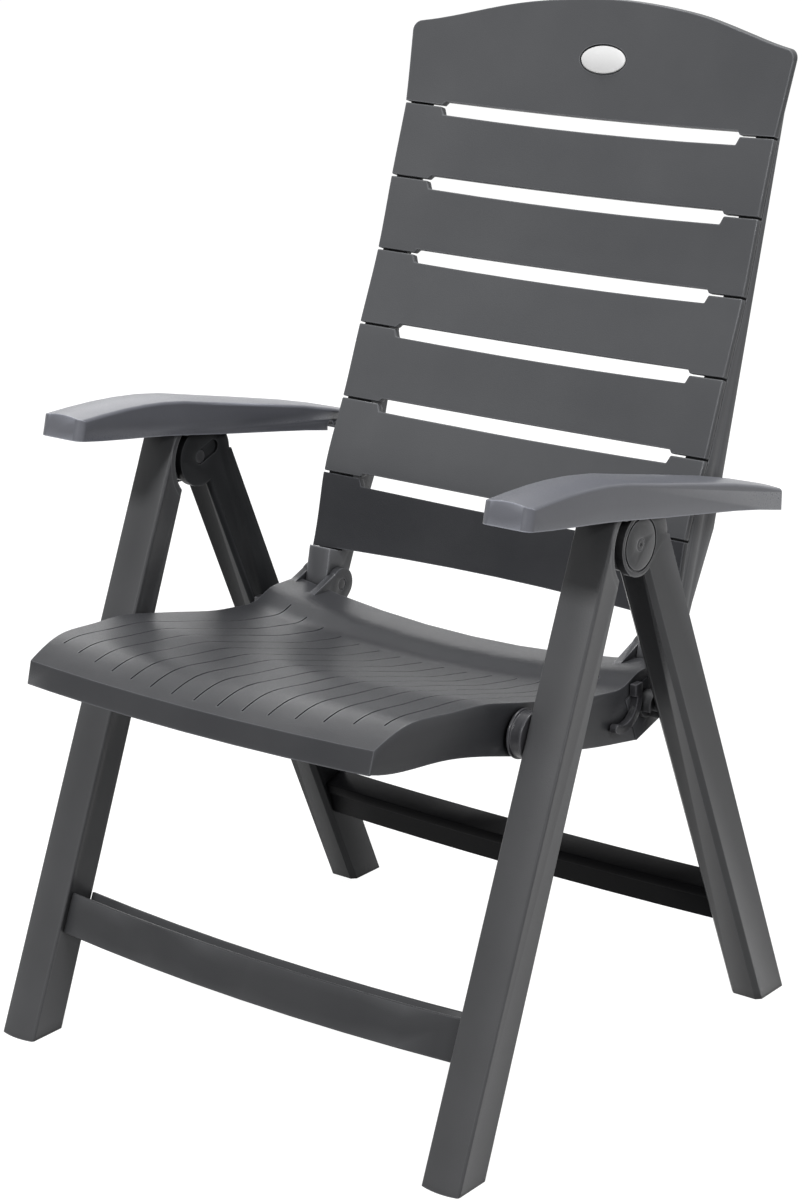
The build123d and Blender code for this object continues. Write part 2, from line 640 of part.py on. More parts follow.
# Seat: one dished shell with deep cheeks
with BuildPart() as seat:
    add(seat_layer(0))
    add(seat_plan(0, -OVERRUN), mode=Mode.INTERSECT)
    # Lower line of the cheeks
    line = cheek_line()
    tail = [
        (SEAT_FRONT_Y + along * SEAT_LENGTH, SEAT_FRONT_TOP + above * SEAT_CHEEK_DEPTH)
        for along, above in SEAT_TAIL_SHARES
    ]
    with BuildSketch(side(-SEAT_REAR_HALF_WIDTH - OVERRUN)):
        with BuildLine():
            Spline(*line)
            Polyline(
                line[-1], tail[0], tail[1], (SEAT_REAR_Y + OVERRUN, tail[1][1]),
                (SEAT_REAR_Y + OVERRUN, SEAT_FLOOR - OVERRUN),
                (SEAT_FRONT_Y - SEAT_BOW - OVERRUN, SEAT_FLOOR - OVERRUN),
                (SEAT_FRONT_Y - SEAT_BOW - OVERRUN, line[0][1]), line[0],
            )
        make_face()
    extrude(amount=2 * SEAT_REAR_HALF_WIDTH + 2 * OVERRUN, mode=Mode.SUBTRACT)
    add(seat_hollow.part, mode=Mode.SUBTRACT)
    # Low rear wall between the ears
    inner_ear_x = STILE_OUTER_X - STILE_WIDTH - SIDE_GAP - EAR_THICKNESS
    rear_wall_low = seat_point(0, 1, SEAT_TOP_SHARES[-1][1])[1] - SEAT_REAR_SKIRT
    with BuildSketch(side(-inner_ear_x)):
        with Locations((SEAT_REAR_Y, rear_wall_low)):
            Rectangle(2 * OVERRUN, 4 * OVERRUN, align=(Align.CENTER, Align.MAX))
    extrude(amount=2 * inner_ear_x, mode=Mode.SUBTRACT)
    add(seat_ribs.part)
    add(seat_side.part)
    mirror(seat_side.part, about=Plane.YZ)
    add(seat_grooves.part, mode=Mode.SUBTRACT)
    # Holes for the seat pivots and the back's hinge pins
    for x in (-OVERRUN - SEAT_REAR_HALF_WIDTH, STILE_OUTER_X - STILE_WIDTH - OVERRUN):
        width = 3 * OVERRUN
        add(
            disc(x, width, BACK_HINGE_Y, BACK_HINGE_Z, BACK_PIN_RADIUS + RUN_GAP), mode=Mode.SUBTRACT
        )
        add(
            disc(x, width, SEAT_PIVOT_Y, SEAT_PIVOT_Z, PIVOT_SHANK_RADIUS + RUN_GAP),
            mode=Mode.SUBTRACT,
        )
save(seat, "seat")

# Claw on the seat's cheek, open below, over the rear leg's rest stub
with BuildPart() as seat_claw:
    claw_bore = REST_RADIUS + SEAT_GAP
    claw_reach = CLAW_RADIUS + claw_bore + CLAW_FLARE
    add(disc(EAR_OUTER_X, CLAW_OUTER_X - EAR_OUTER_X, REST_Y, REST_Z, CLAW_RADIUS))
    with BuildSketch(side(REAR_LEG_INNER_X - REST_LENGTH - SIDE_GAP)):
        with Locations((REST_Y, REST_Z)):
            Circle(claw_bore)
        with BuildLine():
            Polyline(
                polar(claw_bore, CLAW_OPENING_ANGLE + CLAW_EDGE_ANGLE, REST_Y, REST_Z),
                polar(claw_bore, CLAW_OPENING_ANGLE - CLAW_EDGE_ANGLE, REST_Y, REST_Z),
                polar(claw_reach, CLAW_OPENING_ANGLE - CLAW_FLARE_ANGLE, REST_Y, REST_Z),
                polar(claw_reach, CLAW_OPENING_ANGLE + CLAW_FLARE_ANGLE, REST_Y, REST_Z),
                close=True,
            )
        make_face()
    extrude(amount=OVERRUN, mode=Mode.SUBTRACT)
save_pair(seat_claw, "seat_claw")

# Crescent catch on the seat's cheek, with an eye at its top
with BuildPart() as seat_catch:
    with BuildSketch(side(SEAT_REAR_HALF_WIDTH)):
        with BuildLine(mode=Mode.PRIVATE) as crescent:
            ThreePointArc(
                (CATCH_TOP_Y, CATCH_TOP_Z), (CATCH_BULGE_Y, CATCH_BULGE_Z), (CATCH_LOW_Y, CATCH_LOW_Z)
            )
        SlotArc(crescent.edge(), CATCH_WIDTH)
        with Locations((CATCH_TOP_Y, CATCH_TOP_Z)):
            Rectangle(CATCH_EYE, CATCH_EYE)
    extrude(amount=CATCH_THICKNESS)
save_pair(seat_catch, "seat_catch")

# Back hinge pin through both ears and the stile, with a head on the outside
with BuildPart() as back_pin:
    add(disc(inner_ear_x, EAR_OUTER_X + SIDE_GAP - inner_ear_x, BACK_HINGE_Y, BACK_HINGE_Z, BACK_PIN_RADIUS))
    add(disc(EAR_OUTER_X + SIDE_GAP, BACK_PIN_HEAD, BACK_HINGE_Y, BACK_HINGE_Z, BACK_PIN_HEAD_RADIUS))
save_pair(back_pin, "back_hinge_pin")


def back_layer(near, far):
    """Bowed layer between two depths behind the back's front surface."""
    normal = (BACK_RISE / BACK_LENGTH, -BACK_RUN / BACK_LENGTH)
    with BuildPart() as layer:
        for side_share in LOFT_SHARES:
            bow = BACK_BOW * (1 - (side_share * TOP_HALF_WIDTH / BACK_HALF_WIDTH) ** 2)
            faces = []
            for depth in (near + bow, far + bow):
                faces.append([
                    (BACK_LOW_Y + run * BACK_RUN + depth * normal[0],
                     BACK_LOW_Z + rise * BACK_RISE + depth * normal[1])
                    for run, rise in BACK_CURVE_SHARES
                ])
            with BuildSketch(side(side_share * TOP_HALF_WIDTH)):
                with BuildLine():
                    Spline(*faces[0])
                    Line(faces[0][-1], faces[1][-1])
                    Spline(*reversed(faces[1]))
                    Line(faces[1][0], faces[0][0])
                make_face()
        loft(ruled=True)
    return layer.part


def back_edge(z):
    """How far rearward the back's front surface lies at its sides, at a height."""
    rise = (z - BACK_LOW_Z) / BACK_RISE
    for (run_a, rise_a), (run_b, rise_b) in zip(BACK_CURVE_SHARES, BACK_CURVE_SHARES[1:]):
        if rise_a <= rise <= rise_b:
            share = (rise - rise_a) / (rise_b - rise_a)
            return BACK_LOW_Y + (run_a + share * (run_b - run_a)) * BACK_RUN
    return BACK_LOW_Y


def back_plane(z):
    """Plane on the back's front surface at its sides: local x is X, local y runs up, z points forward."""
    return Plane(
        origin=(0, HINGE_Y + back_edge(z), z), x_dir=(1, 0, 0),
        z_dir=(0, -BACK_RISE / BACK_LENGTH, BACK_RUN / BACK_LENGTH),
    )


def slot_outline():
    """Slot between two slats, with pointed ends and a lower edge that sags in its middle."""
    end_x = SLOT_HALF_WIDTH - SLOT_POINT
    end_low = -SLOT_BELOW - SLOT_SAG * (1 - (end_x / BACK_HALF_WIDTH) ** 2)
    with BuildSketch() as outline:
        with BuildLine():
            ThreePointArc((-end_x, end_low), (0, -SLOT_BELOW - SLOT_SAG), (end_x, end_low))
            Polyline(
                (end_x, end_low), (SLOT_HALF_WIDTH, 0), (end_x, SLOT_ABOVE),
                (-end_x, SLOT_ABOVE), (-SLOT_HALF_WIDTH, 0), (-end_x, end_low),
            )
        make_face()
    return outline.sketch


# Cutters for the grooves between the slats, with the slots in them
with BuildPart() as back_gaps:
    for i in range(GAP_COUNT):
        with BuildSketch(back_plane(GAP_TOP_Z - i * GAP_PITCH_Z)):
            Rectangle(2 * BACK_HALF_WIDTH + 2 * OVERRUN, GAP_WIDTH)
            add(slot_outline())
        extrude(amount=OVERRUN, both=True)

# Skin of the back: bowed, with a curved top edge, and cut into its panels
top_z = TOP_CORNER_Z + TOP_RISE
with BuildPart() as back_skin:
    add(back_layer(0, PANEL_THICKNESS))
    with BuildSketch(across(BACK_LOW_Y - OVERRUN)) as outline:
        crown = [(x * TOP_HALF_WIDTH, TOP_CORNER_Z + rise * TOP_RISE) for x, rise in TOP_LINE_SHARES]
        with BuildLine():
            Spline(*crown, *[(-x, z) for x, z in reversed(crown[:-1])])
            for turn in (-1, 1):
                Polyline(
                    (turn * TOP_HALF_WIDTH, TOP_CORNER_Z), (turn * BACK_HALF_WIDTH, GAP_TOP_Z),
                    (turn * BACK_HALF_WIDTH, BACK_LOW_Z),
                )
            Line((-BACK_HALF_WIDTH, BACK_LOW_Z), (BACK_HALF_WIDTH, BACK_LOW_Z))
        make_face()
        fillet(
            outline.vertices().filter_by_position(Axis.Y, TOP_CORNER_Z - TOP_CORNER, top_z),
            TOP_CORNER,
        )
    extrude(amount=-BACK_RUN - 3 * OVERRUN, mode=Mode.INTERSECT)
    # Recess of the badge
    badge_share = (BADGE_Z + BACK_BOW * BACK_RUN / BACK_LENGTH - BACK_LOW_Z) / BACK_RISE
    badge_y = back_edge(BACK_LOW_Z + badge_share * BACK_RISE) + BACK_BOW * BACK_RISE / BACK_LENGTH
    badge_plane = Plane(
        origin=(0, HINGE_Y + badge_y, BADGE_Z), x_dir=(1, 0, 0), z_dir=back_plane(BADGE_Z).z_dir
    )
    with BuildSketch(badge_plane.offset(-BADGE_RECESS)):
        Ellipse(BADGE_HALF_LENGTH, BADGE_HALF_HEIGHT)
    extrude(amount=OVERRUN, mode=Mode.SUBTRACT)
    add(back_gaps.part, mode=Mode.SUBTRACT)

panel_names = ["back_bottom_panel"] + [f"back_slat_{GAP_COUNT - 1 - i}" for i in range(GAP_COUNT - 1)]
panel_names.append("back_top_panel")
for name, solid in zip(panel_names, back_skin.solids().sort_by(Axis.Z)):
    with BuildPart() as panel:
        add(solid)
    save(panel, name)

# Badge: a bare oval plate in its recess
with BuildPart() as badge:
    with BuildSketch(badge_plane.offset(-BADGE_RECESS)):
        Ellipse(BADGE_HALF_LENGTH - BADGE_GAP, BADGE_HALF_HEIGHT - BADGE_GAP)
    extrude(amount=BADGE_RECESS + BADGE_PROUD)
save(badge, "badge")

# Stile behind the panels, deepest above the hinge, with the hinge barrel at its foot
with BuildPart() as stile:
    with BuildSketch(side(STILE_OUTER_X - STILE_WIDTH)):
        with BuildLine():
            Polyline(
                (back_edge(STILE_TOP_Z), STILE_TOP_Z),
                (STILE_TOP_REAR_Y, STILE_TOP_Z),
                (STILE_KNEE_REAR_Y, STILE_KNEE_Z),
                (STILE_KNEE_LOW_Y, STILE_KNEE_LOW_Z),
                polar(EAR_RADIUS, STILE_HEEL_ANGLE, BACK_HINGE_Y, BACK_HINGE_Z),
                polar(EAR_RADIUS, STILE_TOE_ANGLE, BACK_HINGE_Y, BACK_HINGE_Z),
                (BACK_LOW_Y - PANEL_THICKNESS, BACK_LOW_Z),
                (back_edge(STILE_KNEE_Z) - PANEL_THICKNESS, STILE_KNEE_Z),
                close=True,
            )
        make_face()
        with Locations((BACK_HINGE_Y, BACK_HINGE_Z)):
            Circle(EAR_RADIUS)
    extrude(amount=STILE_WIDTH)
    add(back_layer(-3 * OVERRUN, PANEL_THICKNESS + SEAT_GAP), mode=Mode.SUBTRACT)
    add(
        disc(STILE_OUTER_X - STILE_WIDTH, STILE_WIDTH, BACK_HINGE_Y, BACK_HINGE_Z, BACK_PIN_RADIUS + RUN_GAP),
        mode=Mode.SUBTRACT,
    )
    add(
        disc(
            STILE_OUTER_X, -RECLINE_PIN_SUNK - SIDE_GAP, RECLINE_PIN_Y, RECLINE_PIN_Z,
            RECLINE_PIN_RADIUS + RUN_GAP,
        ),
        mode=Mode.SUBTRACT,
    )
save_pair(stile, "back_stile")

# Recline pin, which ends just short of the armrest's rack
with BuildPart() as recline_pin:
    add(disc(
        STILE_OUTER_X - RECLINE_PIN_SUNK, RECLINE_PIN_END_X - STILE_OUTER_X + RECLINE_PIN_SUNK,
        RECLINE_PIN_Y, RECLINE_PIN_Z, RECLINE_PIN_RADIUS,
    ))
save_pair(recline_pin, "recline_pin")


def arm_block(inset, skin, drop):
    """Body of the armrest's shape, drawn in at its sides and top, and lowered at its foot."""
    with BuildPart() as block:
        for along, low, high, crown in ARM_STATION_SHARES:
            bottom = ARM_LOW_Z + low * ARM_HEIGHT - drop
            top = ARM_LOW_Z + high * ARM_HEIGHT - skin
            inner, outer = ARM_INNER_X + inset, ARM_OUTER_X - inset
            with BuildSketch(across(ARM_NOSE_Y + along * ARM_LENGTH)) as section:
                with BuildLine():
                    ThreePointArc((inner, top), ((inner + outer) / 2, top + crown * ARM_CROWN), (outer, top))
                    Polyline((outer, top), (outer, bottom), (inner, bottom), (inner, top))
                make_face()
                fillet(section.vertices().group_by(Axis.Y)[-1], ARM_EDGE - inset / 2)
        loft(ruled=True)
    return block.part


def arm_plan(inset):
    """Upright block over the armrest's plan outline, with its corners rounded."""
    with BuildPart() as block:
        with BuildSketch(Plane.XY.offset(ARM_LOW_Z - ARM_HEIGHT)) as outline:
            with Locations((
                (ARM_INNER_X + ARM_OUTER_X) / 2, HINGE_Y + ARM_NOSE_Y + ARM_LENGTH / 2
            )):
                Rectangle(ARM_OUTER_X - ARM_INNER_X - 2 * inset, ARM_LENGTH - 2 * inset)
            fillet(outline.vertices().group_by(Axis.Y)[0], ARM_CORNER - inset)
        extrude(amount=3 * ARM_HEIGHT)
    return block.part


# Armrest: a channel that is open below, with a rack of notches for the recline pin
with BuildPart() as arm_hollow:
    add(arm_block(ARM_WALL, ARM_SKIN, ARM_HEIGHT))
    add(arm_plan(ARM_WALL), mode=Mode.INTERSECT)

with BuildPart() as armrest:
    add(arm_block(0, 0, 0))
    add(arm_plan(0), mode=Mode.INTERSECT)
    add(arm_hollow.part, mode=Mode.SUBTRACT)
    # Rack block inside the inner wall, and the bosses of the arm pivot
    with BuildSketch(side(ARM_INNER_X)):
        with Locations(((RACK_FRONT_Y + RACK_REAR_Y) / 2, RECLINE_PIN_Z)):
            Rectangle(RACK_REAR_Y - RACK_FRONT_Y, 2 * ARM_HEIGHT)
    extrude(amount=RACK_WIDTH)
    for x, width in (
        (ARM_INNER_X, FRONT_LEG_INNER_X - SIDE_GAP - ARM_INNER_X),
        (ARM_OUTER_X, FRONT_LEG_OUTER_X + SIDE_GAP - ARM_OUTER_X),
    ):
        add(disc(x, width, ARM_PIVOT_Y, ARM_PIVOT_Z, ARM_BOSS_RADIUS))
    add(arm_block(0, 0, 0), mode=Mode.INTERSECT)
    # Mouth of the rack, with its notches along the arc of the recline pin
    with BuildSketch(side(ARM_INNER_X)):
        with Locations((BACK_HINGE_Y, BACK_HINGE_Z)):
            Circle(RECLINE_ARM)
        for i in range(RACK_NOTCHES):
            turn = (i - (RACK_NOTCHES - 1) / 2) * RACK_PITCH_ANGLE
            angle = UPRIGHT_ANGLE - RECLINE_ANGLE - turn
            with Locations(polar(RECLINE_ARM, angle, BACK_HINGE_Y, BACK_HINGE_Z)):
                Circle(RECLINE_PIN_RADIUS + RACK_GAP)
        with Locations(((RACK_FRONT_Y + RACK_REAR_Y) / 2, RECLINE_PIN_Z)):
            Rectangle(RACK_REAR_Y - RACK_FRONT_Y - 2 * ARM_WALL, 4 * ARM_HEIGHT, mode=Mode.INTERSECT)
    extrude(amount=RACK_WIDTH, mode=Mode.SUBTRACT)
    add(
        disc(
            ARM_PIN_INNER_X - RUN_GAP, ARM_PIN_OUTER_X - ARM_PIN_INNER_X + 2 * RUN_GAP,
            ARM_PIVOT_Y, ARM_PIVOT_Z, ARM_PIN_RADIUS + RUN_GAP,
        ),
        mode=Mode.SUBTRACT,
    )
save_pair(armrest, "armrest")

# Arm pivot pin, blind in both walls of the armrest
with BuildPart() as arm_pin:
    add(disc(
        ARM_PIN_INNER_X, ARM_PIN_OUTER_X - ARM_PIN_INNER_X, ARM_PIVOT_Y, ARM_PIVOT_Z, ARM_PIN_RADIUS
    ))
save_pair(arm_pin, "arm_pivot_pin")
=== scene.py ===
import json
import math

import bpy
from mathutils import Matrix, Vector

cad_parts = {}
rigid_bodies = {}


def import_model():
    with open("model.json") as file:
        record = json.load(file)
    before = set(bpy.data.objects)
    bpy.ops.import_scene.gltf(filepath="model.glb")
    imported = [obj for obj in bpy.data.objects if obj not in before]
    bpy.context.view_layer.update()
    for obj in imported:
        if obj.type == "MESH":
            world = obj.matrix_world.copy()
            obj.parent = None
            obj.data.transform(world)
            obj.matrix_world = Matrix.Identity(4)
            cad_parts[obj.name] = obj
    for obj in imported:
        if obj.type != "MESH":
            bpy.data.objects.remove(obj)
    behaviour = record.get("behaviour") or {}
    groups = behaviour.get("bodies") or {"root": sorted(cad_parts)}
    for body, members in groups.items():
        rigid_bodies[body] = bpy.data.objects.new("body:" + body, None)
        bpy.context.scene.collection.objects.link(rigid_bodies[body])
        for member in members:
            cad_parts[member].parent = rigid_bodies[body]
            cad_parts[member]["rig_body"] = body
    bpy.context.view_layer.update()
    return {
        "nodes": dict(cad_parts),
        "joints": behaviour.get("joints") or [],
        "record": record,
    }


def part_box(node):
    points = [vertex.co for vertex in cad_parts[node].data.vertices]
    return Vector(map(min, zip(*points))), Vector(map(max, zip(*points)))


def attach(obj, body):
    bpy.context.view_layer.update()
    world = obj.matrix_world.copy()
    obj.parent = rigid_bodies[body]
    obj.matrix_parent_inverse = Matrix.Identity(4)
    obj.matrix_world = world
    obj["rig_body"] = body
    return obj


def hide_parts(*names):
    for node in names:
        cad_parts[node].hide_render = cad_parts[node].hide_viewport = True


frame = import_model()
SLOT_OF = {part["node"]: part["material_slot"] for part in frame["record"]["subparts"]}

# Places along Y are counted from the axis on which the legs cross
HINGE_Y = next(j["pos_m"][1] for j in frame["joints"] if j["name"] == "rear_leg_fold")

# Camera of the photograph: place and reach in metres, angles in degrees, lens and sensor in millimetres
CAMERA_PLACE = (1.7017, -2.2159, 1.3097)
CAMERA_AZIMUTH = 37.38
CAMERA_ELEVATION = 17.14
CAMERA_LENS = 88.0
CAMERA_SENSOR = 36.0
CAMERA_REACH = 100.0

# Lamps: name, place and size in metres, power in watts
LAMPS = (
    ("key_lamp", (0.35, -3.5, 3.1), 0.55, 112.0),
    ("side_lamp", (3.6, -0.9, 2.6), 1.2, 50.0),
    ("top_lamp", (-0.4, 0.7, 4.2), 1.0, 96.0),
    ("rear_lamp", (-2.6, 2.6, 2.6), 2.0, 24.0),
)
LAMP_AIM = (0.0, 0.0, 0.5)

# World and floor: the white that is seen, and the dim light that falls on the chair
WHITE = (1.0, 1.0, 1.0, 1.0)
BACKDROP_WHITE = 1.0
AMBIENT = 0.07
FLOOR_SIZE = 40.0
FLOOR_GREY = (0.2, 0.2, 0.2, 1.0)
FLOOR_WHITE = 0.98
FLOOR_ROUGHNESS = 0.95
FLOOR_GLOSS = 0.1

# Resin: clouds and grain in cycles per metre, where their noise turns, and the grain's depth in metres
RESIN_IOR = 1.5
CLOUD_SCALE = 9.0
CLOUD_DETAIL = 5.0
CLOUD_TURNS = (0.35, 0.68)
GRAIN_SCALE = 900.0
GRAIN_DETAIL = 2.0
GRAIN_TURNS = (0.3, 0.7)
GRAIN_DEPTH = 0.0003
ROUGHNESS_SWING = 0.06

# Painted highlight and lower roughness along outer edges: reach in metres, the turn of the surface and the
# open share that count
EDGE_MARK_REACH = 0.002
EDGE_MARK_FLAT = 0.995
EDGE_MARK_TURN = 0.08
EDGE_MARK_OPEN = (0.7, 0.95)
PAINTED_HIGHLIGHT_GAIN = 2.6
PAINTED_HIGHLIGHT_TOP = 0.85
POLISH_ROUGHNESS = 0.2

# Painted shade in creases: reach in metres, the open share over which it falls, and its darkest
CREASE_REACH = 0.014
CREASE_OPEN = (0.25, 0.85)
CREASE_SHADE = 0.35
RAY_SAMPLES = 6

# Finishes: darker and lighter colour, roughness, strength of the grain, gloss
FINISHES = {
    "anthracite_resin": ((0.066, 0.067, 0.070), (0.080, 0.081, 0.085), 0.42, 0.45, 0.25),
    "anthracite_panel": ((0.068, 0.070, 0.075), (0.079, 0.081, 0.086), 0.50, 0.4, 0.3),
    # Armrest: lighter than the rest of the resin, and tinted blue as a painted sky reflection
    "armrest_painted_sky_tint": ((0.122, 0.126, 0.146), (0.142, 0.147, 0.168), 0.34, 0.35, 0.5),
    "dark_pin_resin": ((0.036, 0.036, 0.040), (0.046, 0.046, 0.050), 0.34, 0.2, 0.3),
    "white_badge": ((0.74, 0.74, 0.74), (0.80, 0.80, 0.80), 0.35, 0.05, 0.5),
    # Painted shade: the seat, a darker copy of the resin
    "painted_shade_seat": ((0.037, 0.038, 0.042), (0.048, 0.049, 0.053), 0.38, 0.45, 0.28),
    # Painted shade: the front crossbar, a darker copy of the resin
    "painted_shade_front_bar": ((0.044, 0.045, 0.048), (0.054, 0.055, 0.058), 0.42, 0.45, 0.2),
    # Painted light: the side stiles of the back, a lighter copy of the resin
    "painted_light_stile": ((0.098, 0.100, 0.106), (0.112, 0.114, 0.121), 0.44, 0.4, 0.3),
    # Painted shadow: the rear crossbar, nearly black as if under the seat's shadow
    "shaded_crossbar": ((0.006, 0.006, 0.007), (0.010, 0.010, 0.011), 0.40, 0.4, 0.02),
    # Painted shade: the far rear leg, a darker copy of the resin
    "shaded_leg": ((0.022, 0.023, 0.025), (0.031, 0.032, 0.034), 0.42, 0.45, 0.1),
    # Painted shade: the bottom back panel, a darker copy of the panel resin
    "shaded_panel": ((0.030, 0.031, 0.035), (0.040, 0.041, 0.045), 0.46, 0.4, 0.2),
}
SLOT_FINISH = {
    "resin": "anthracite_resin",
    "panel_resin": "anthracite_panel",
    "armrest_resin": "armrest_painted_sky_tint",
    "pin_resin": "dark_pin_resin",
    "badge": "white_badge",
}
# Pieces that the photograph shows darker or lighter than the rest of their slot, given darker or lighter
# copies of its finish as painted shade and painted light
OWN_FINISH = {
    "seat": "painted_shade_seat",
    "front_crossbar": "painted_shade_front_bar",
    "back_stile_left": "painted_light_stile",
    "back_stile_right": "painted_light_stile",
    "rear_crossbar": "shaded_crossbar",
    "rear_leg_right": "shaded_leg",
    "back_bottom_panel": "shaded_panel",
}

# Clean-up and edge rounding of the copied meshes: metres, and degrees for the angles
WELD_DISTANCE = 0.00001
FLAT_ANGLE = 0.4
EDGE_RADIUS = 0.0012
EDGE_ANGLE = 32.0
EDGE_SEGMENTS = 2

# Armrest nose: height of the lower edge at front and rear, skin over it, slant, and share of the length
ARM_LOW_LINE = (0.6113, 0.5361)
ARM_SKIN_RANGE = 0.030
NOSE_SLANT = 0.008
NOSE_SHARE = 0.1

# Stile: from how far out and how high up its side moves, and how far, in metres
STILE_SIDE = 0.2268
STILE_REACH = 0.0016
STILE_LOW_Z = 0.44


def set_inputs(tree, node, inputs):
    """Gives each named input of a node its value, or links it to another node's output."""
    for name, value in inputs.items():
        if isinstance(value, bpy.types.NodeSocket):
            tree.links.new(value, node.inputs[name])
        else:
            node.inputs[name].default_value = value


def add_node(tree, kind, inputs, **settings):
    """Adds a shader node with its settings and inputs."""
    node = tree.nodes.new("ShaderNode" + kind)
    for name, value in settings.items():
        setattr(node, name, value)
    set_inputs(tree, node, inputs)
    return node


def new_material(name):
    """A material with its node tree and its main shader."""
    material = bpy.data.materials.new(name)
    material.use_nodes = True
    return material, material.node_tree, material.node_tree.nodes["Principled BSDF"]


def make_camera():
    azimuth, elevation = math.radians(CAMERA_AZIMUTH), math.radians(CAMERA_ELEVATION)
    back = Vector((
        math.sin(azimuth) * math.cos(elevation),
        -math.cos(azimuth) * math.cos(elevation),
        math.sin(elevation),
    ))
    right = Vector((math.cos(azimuth), math.sin(azimuth), 0.0))
    up = back.cross(right)
    camera = bpy.data.objects.new("camera", bpy.data.cameras.new("camera"))
    turn = Matrix((right, up, back)).transposed().to_4x4()
    place = Vector(CAMERA_PLACE) + Vector((0.0, HINGE_Y, 0.0))
    camera.matrix_world = Matrix.Translation(place) @ turn
    camera.data.lens = CAMERA_LENS
    camera.data.sensor_width = CAMERA_SENSOR
    camera.data.sensor_height = CAMERA_SENSOR
    camera.data.clip_end = CAMERA_REACH
    bpy.context.scene.collection.objects.link(camera)
    bpy.context.scene.camera = camera


def make_lamp(name, place, size, power):
    lamp = bpy.data.lights.new(name, "AREA")
    lamp.shape = "SQUARE"
    lamp.size = size
    lamp.energy = power
    obj = bpy.data.objects.new(name, lamp)
    obj.location = place
    obj.rotation_euler = (Vector(LAMP_AIM) - Vector(place)).to_track_quat("-Z", "Y").to_euler()
    bpy.context.scene.collection.objects.link(obj)


def white_where_seen(tree, dim, white):
    """Strength that is white on camera, glossy and transmission rays, and dim on all others."""
    rays = add_node(tree, "LightPath", {}).outputs
    seen = add_node(tree, "Math", {0: rays["Is Camera Ray"], 1: rays["Is Glossy Ray"]}, operation="MAXIMUM")
    through = {0: seen.outputs[0], 1: rays["Is Transmission Ray"]}
    any_of_them = add_node(tree, "Math", through, operation="MAXIMUM")
    level = {"Value": any_of_them.outputs[0], "To Min": dim, "To Max": white}
    return add_node(tree, "MapRange", level).outputs["Result"]


def make_world():
    world = bpy.data.worlds.new("studio")
    bpy.context.scene.world = world
    world.use_nodes = True
    tree = world.node_tree
    set_inputs(tree, tree.nodes["Background"], {
        "Color": WHITE,
        "Strength": white_where_seen(tree, AMBIENT, BACKDROP_WHITE),
    })


def make_floor():
    bpy.ops.mesh.primitive_plane_add(size=FLOOR_SIZE)
    floor = bpy.context.object
    floor.name = "floor"
    material, tree, shader = new_material("pale_floor")
    set_inputs(tree, shader, {
        "Base Color": FLOOR_GREY,
        "Roughness": FLOOR_ROUGHNESS,
        "Specular IOR Level": FLOOR_GLOSS,
        "Emission Color": WHITE,
        "Emission Strength": white_where_seen(tree, 0.0, FLOOR_WHITE),
    })
    floor.data.materials.append(material)


def open_share(tree, reach, levels, lowest):
    """Rises from the lowest value to 1 as the space over the surface, out to the reach, opens."""
    around = add_node(tree, "AmbientOcclusion", {"Distance": reach}, samples=RAY_SAMPLES)
    return add_node(tree, "MapRange", {
        "Value": around.outputs["AO"],
        "From Min": levels[0],
        "From Max": levels[1],
        "To Min": lowest,
    }).outputs["Result"]


def edge_share(tree):
    """Share of painted highlight and lower roughness: 1 on the rounding of an outer edge, 0 on plain faces
    and in corners.
    """
    rounded = add_node(tree, "Bevel", {"Radius": EDGE_MARK_REACH}, samples=RAY_SAMPLES)
    face = add_node(tree, "NewGeometry", {})
    pair = {0: rounded.outputs["Normal"], 1: face.outputs["True Normal"]}
    facing = add_node(tree, "VectorMath", pair, operation="DOT_PRODUCT")
    turned = add_node(tree, "MapRange", {
        "Value": facing.outputs["Value"],
        "From Min": EDGE_MARK_FLAT,
        "From Max": EDGE_MARK_FLAT - EDGE_MARK_TURN,
    })
    outer = open_share(tree, 2.0 * EDGE_MARK_REACH, EDGE_MARK_OPEN, 0.0)
    both = add_node(tree, "Math", {0: turned.outputs["Result"], 1: outer}, operation="MULTIPLY")
    return both.outputs[0]


def cloudy_colour(tree, place, dark, light):
    """Colour that drifts between a darker and a lighter one."""
    cloud = {"Vector": place, "Scale": CLOUD_SCALE, "Detail": CLOUD_DETAIL}
    noise = add_node(tree, "TexNoise", cloud)
    ramp = add_node(tree, "ValToRGB", {"Fac": noise.outputs["Fac"]})
    for element, turn, colour in zip(ramp.color_ramp.elements, CLOUD_TURNS, (dark, light)):
        element.position = turn
        element.color = (*colour, 1.0)
    return ramp.outputs["Color"]


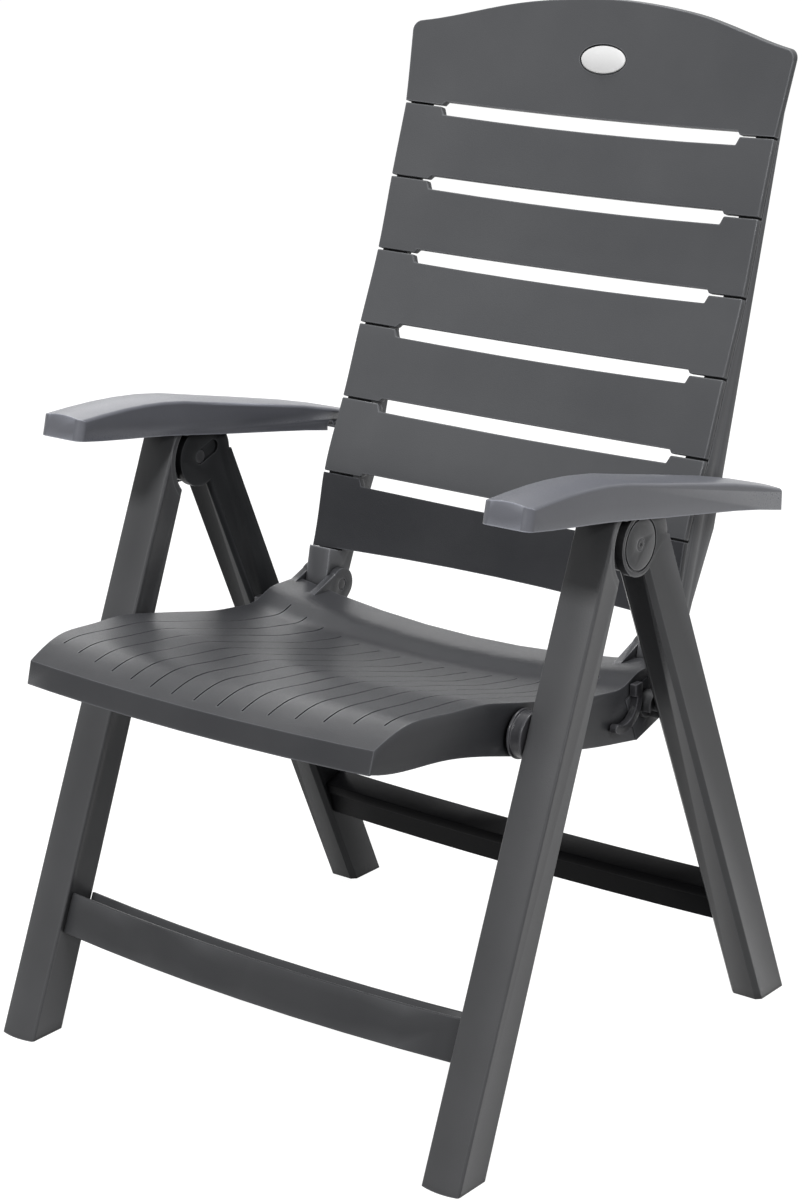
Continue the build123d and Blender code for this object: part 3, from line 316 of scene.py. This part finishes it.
def resin(name, dark, light, roughness, grain, gloss):
    """Moulded resin: a fine grain, faint clouds, a painted highlight and lower roughness on outer edges,
    and painted shade in creases.
    """
    material, tree, shader = new_material(name)
    place = add_node(tree, "TexCoord", {}).outputs["Object"]
    edge_highlight_and_polish = edge_share(tree)
    # Painted highlight: the colour of outer edges is lightened towards a light grey, while their lower
    # roughness is real
    painted_highlight_colour = (*[min(PAINTED_HIGHLIGHT_TOP, PAINTED_HIGHLIGHT_GAIN * part) for part in light], 1.0)
    mixed = {"Factor": edge_highlight_and_polish, "A": cloudy_colour(tree, place, dark, light), "B": painted_highlight_colour}
    highlighted = add_node(tree, "Mix", mixed, data_type="RGBA")
    # Painted shade: the colour darkens in creases, where the space over the surface closes
    shaded = add_node(tree, "VectorMath", {
        "Vector": highlighted.outputs["Result"],
        "Scale": open_share(tree, CREASE_REACH, CREASE_OPEN, CREASE_SHADE),
    }, operation="SCALE")

    fine = {"Vector": place, "Scale": GRAIN_SCALE, "Detail": GRAIN_DETAIL}
    fine_noise = add_node(tree, "TexNoise", fine).outputs["Fac"]
    rough = add_node(tree, "MapRange", {
        "Value": fine_noise,
        "From Min": GRAIN_TURNS[0],
        "From Max": GRAIN_TURNS[1],
        "To Min": roughness - ROUGHNESS_SWING,
        "To Max": roughness + ROUGHNESS_SWING,
    })
    smooth = {"Factor": edge_highlight_and_polish, "A": rough.outputs["Result"], "B": POLISH_ROUGHNESS}
    bump = {"Strength": grain, "Distance": GRAIN_DEPTH, "Height": fine_noise}
    set_inputs(tree, shader, {
        "IOR": RESIN_IOR,
        "Specular IOR Level": gloss,
        "Base Color": shaded.outputs["Vector"],
        "Roughness": add_node(tree, "Mix", smooth).outputs["Result"],
        "Normal": add_node(tree, "Bump", bump).outputs["Normal"],
    })
    return material


def shape_armrest(mesh, box):
    """Slants the nose."""
    start, length = box[0][1], box[1][1] - box[0][1]
    for vertex in mesh.vertices:
        share = (vertex.co.y - start) / length
        low = ARM_LOW_LINE[0] + (ARM_LOW_LINE[1] - ARM_LOW_LINE[0]) * share
        height = min(1.0, max(0.0, (vertex.co.z - low) / ARM_SKIN_RANGE))
        vertex.co.y += height * NOSE_SLANT * max(0.0, 1.0 - share / NOSE_SHARE)


def shape_stile(mesh, box):
    """Brings the outer side level with the ends of the slats."""
    for vertex in mesh.vertices:
        if abs(vertex.co.x) > STILE_SIDE and vertex.co.z > STILE_LOW_Z:
            vertex.co.x += math.copysign(STILE_REACH, vertex.co.x)


SHAPING = {"armrest": shape_armrest, "back_stile": shape_stile}


def clean_mesh(copy):
    """Joins the triangles of flat faces, so that only real edges are left."""
    bpy.ops.object.select_all(action="DESELECT")
    copy.select_set(True)
    bpy.context.view_layer.objects.active = copy
    bpy.ops.object.mode_set(mode="EDIT")
    bpy.ops.mesh.select_all(action="SELECT")
    bpy.ops.mesh.customdata_custom_splitnormals_clear()
    bpy.ops.mesh.remove_doubles(threshold=WELD_DISTANCE)
    bpy.ops.mesh.dissolve_limited(angle_limit=math.radians(FLAT_ANGLE))
    bpy.ops.object.mode_set(mode="OBJECT")


def round_edges(copy):
    """Rounds the edges of the active piece and evens out its shading."""
    bevel = copy.modifiers.new("edges", "BEVEL")
    bevel.width = EDGE_RADIUS
    bevel.segments = EDGE_SEGMENTS
    bevel.limit_method = "ANGLE"
    bevel.angle_limit = math.radians(EDGE_ANGLE)
    normals = copy.modifiers.new("normals", "WEIGHTED_NORMAL")
    normals.keep_sharp = True
    for name in ("edges", "normals"):
        bpy.ops.object.modifier_apply(modifier=name)
    for face in copy.data.polygons:
        face.use_smooth = True


def refine(node, materials):
    """Puts a finely edged copy with its finish in place of a piece."""
    source = frame["nodes"][node]
    copy = bpy.data.objects.new(node + "_finished", source.data.copy())
    bpy.context.scene.collection.objects.link(copy)
    clean_mesh(copy)
    for prefix, shape in SHAPING.items():
        if node.startswith(prefix):
            shape(copy.data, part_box(node))
    round_edges(copy)
    slot = SLOT_OF[node]
    copy.data.materials.clear()
    copy.data.materials.append(materials[OWN_FINISH.get(node, SLOT_FINISH[slot])])
    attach(copy, source["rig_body"])
    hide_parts(node)


bpy.context.scene.view_settings.view_transform = "Standard"
make_camera()
make_world()
make_floor()
for lamp in LAMPS:
    make_lamp(*lamp)
finished = {name: resin(name, *values) for name, values in FINISHES.items()}
for node in sorted(frame["nodes"]):
    refine(node, finished)
